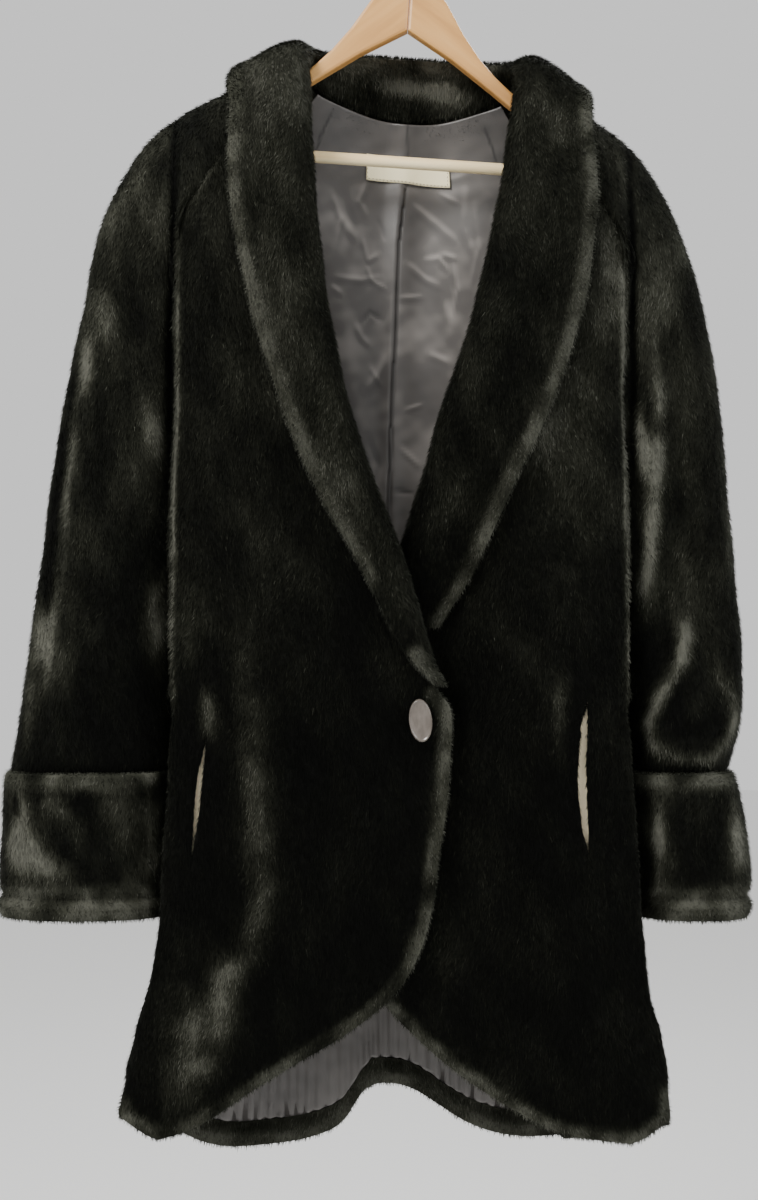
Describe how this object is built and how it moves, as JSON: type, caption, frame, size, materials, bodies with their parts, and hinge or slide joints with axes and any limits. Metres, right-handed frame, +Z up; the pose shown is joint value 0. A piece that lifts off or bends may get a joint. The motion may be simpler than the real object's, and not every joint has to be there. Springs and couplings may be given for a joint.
{
  "type": "shawl collar coat on a wooden hanger",
  "caption": "Long dark plush coat with a wide shawl collar, raglan sleeves, turned-up cuffs, slit pockets and one oval button, hanging on a wooden hanger.",
  "frame": {"origin": "inside of the hook's crown, where the hanger's hook rests on a rail or peg", "axes": "+Z up, -Y the front of the coat, +X the viewer's right (the wearer's left)"},
  "size_m": [0.7141, 0.1549, 1.1629],
  "materials": {
    "plush": "sheared plush pile, soft sheen",
    "plush_facing": "sheared plush pile",
    "satin": "satin lining",
    "pocket_cloth": "plain cream cloth",
    "woven_label": "woven, plain",
    "pearl": "grey-brown pearl",
    "beech": "clear varnish",
    "dowel": "plain turned",
    "steel_wire": "bright drawn wire"
  },
  "bodies": {
    "root": {"back": "plush", "front_left": "plush", "front_right": "plush", "sleeve_left": "plush", "sleeve_right": "plush", "cuff_left": "plush", "cuff_right": "plush", "collar_left": "plush", "collar_right": "plush", "facing_left": "plush_facing", "facing_right": "plush_facing", "hem_facing_back": "plush_facing", "lining_back": "satin", "pocket_left": "pocket_cloth", "pocket_right": "pocket_cloth", "label": "woven_label", "button": "pearl", "button_shank": "pearl", "hanger_arm_left": "beech", "hanger_arm_right": "beech", "hanger_bar": "dowel", "hanger_hook": "steel_wire"}
  },
  "joints": []
}
